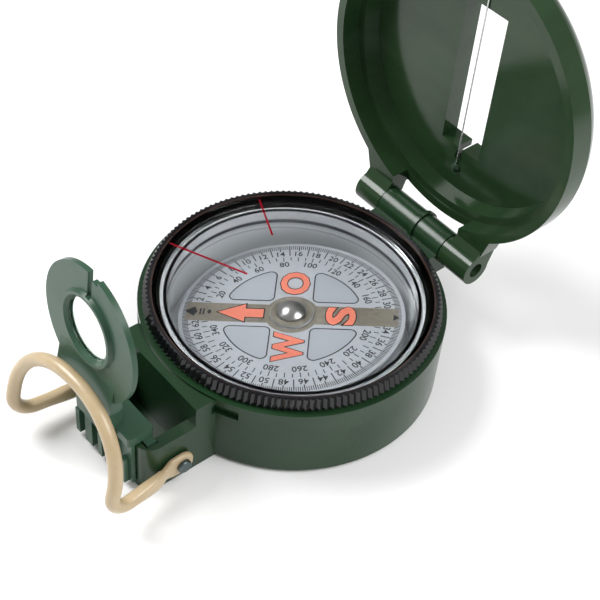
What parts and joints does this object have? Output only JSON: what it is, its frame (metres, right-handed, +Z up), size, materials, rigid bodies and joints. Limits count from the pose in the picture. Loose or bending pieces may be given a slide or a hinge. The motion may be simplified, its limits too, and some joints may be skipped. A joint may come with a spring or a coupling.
{
  "type": "sighting compass",
  "caption": "Folding pocket sighting compass: hinged lid with a sight wire, turning bezel and card, folding magnifier on a focus slider, and a wire thumb loop.",
  "frame": {"origin": "centre of the case's flat underside", "axes": "+Z up out of the dial; +Y the sighting direction, from the lens plate towards the lid hinge; +X to the right of a person sighting. The lid stands open at a right angle and the lens plate stands up."},
  "size_m": [0.058, 0.0943, 0.0747],
  "materials": {
    "green_plastic": "glossy moulded plastic with faint flow marks",
    "black_plastic": "glossy moulded plastic",
    "clear_plastic": "clear polished plastic",
    "capsule_white": "pale plastic behind clear liquid",
    "card_print": "silvery card with printed scales",
    "steel": "plain steel",
    "dark_steel": "dark finished steel",
    "brass": "turned brass",
    "magnet": "dull magnet alloy",
    "red_line": "red paint filled line",
    "tan_enamel": "smooth tan coating on wire",
    "seal_rubber": "soft black rubber",
    "lens_glass": "polished lens"
  },
  "bodies": {
    "case_body": {"case": "green_plastic", "capsule_bowl": "capsule_white", "capsule_window": "clear_plastic", "capsule_seal": "seal_rubber", "capsule_fill_plug": "clear_plastic", "pivot_pin": "steel", "bezel_friction_ring": "steel", "loop_rivets": "dark_steel", "hinge_pin": "dark_steel"},
    "card_body": {"compass_card": "card_print", "magnet_bar": "magnet", "pivot_cap": "steel", "pivot_jewel": "brass"},
    "bezel_body": {"bezel_ring": "black_plastic", "bezel_window": "clear_plastic", "index_lines": "red_line", "window_retainer": "black_plastic"},
    "lid_body": {"lid": "green_plastic", "sight_wire": "steel", "wire_anchors": "green_plastic"},
    "slider_body": {"lens_slider": "green_plastic", "lens_hinge_pin": "dark_steel"},
    "lens_body": {"lens_plate": "green_plastic", "magnifier_lens": "lens_glass", "lens_retaining_ring": "green_plastic"},
    "loop_body": {"thumb_loop": "tan_enamel"}
  },
  "joints": [
    {"name": "lid_hinge", "type": "hinge", "parent": "case_body", "child": "lid_body", "pos_m": [0, 0.0315, 0.016], "axis": [1, 0, 0], "range_deg": [-85, 90]},
    {"name": "lens_focus", "type": "slide", "parent": "case_body", "child": "slider_body", "axis": [0, 0, 1], "range_m": [0, 0.0008]},
    {"name": "lens_fold", "type": "hinge", "parent": "slider_body", "child": "lens_body", "pos_m": [0, -0.0416, 0.0186], "axis": [-1, 0, 0], "range_deg": [-3, 85.5]},
    {"name": "loop_swing", "type": "hinge", "parent": "case_body", "child": "loop_body", "pos_m": [0, -0.0333, 0.0043], "axis": [1, 0, 0], "range_deg": [0, 110]},
    {"name": "bezel_turn", "type": "hinge", "parent": "case_body", "child": "bezel_body", "pos_m": [0, 0, 0.0165], "axis": [0, 0, 1], "continuous": true},
    {"name": "card_turn", "type": "hinge", "parent": "case_body", "child": "card_body", "pos_m": [0, 0, 0.0109], "axis": [-0.1221, -0.0191, 0.9923], "continuous": true}
  ]
}
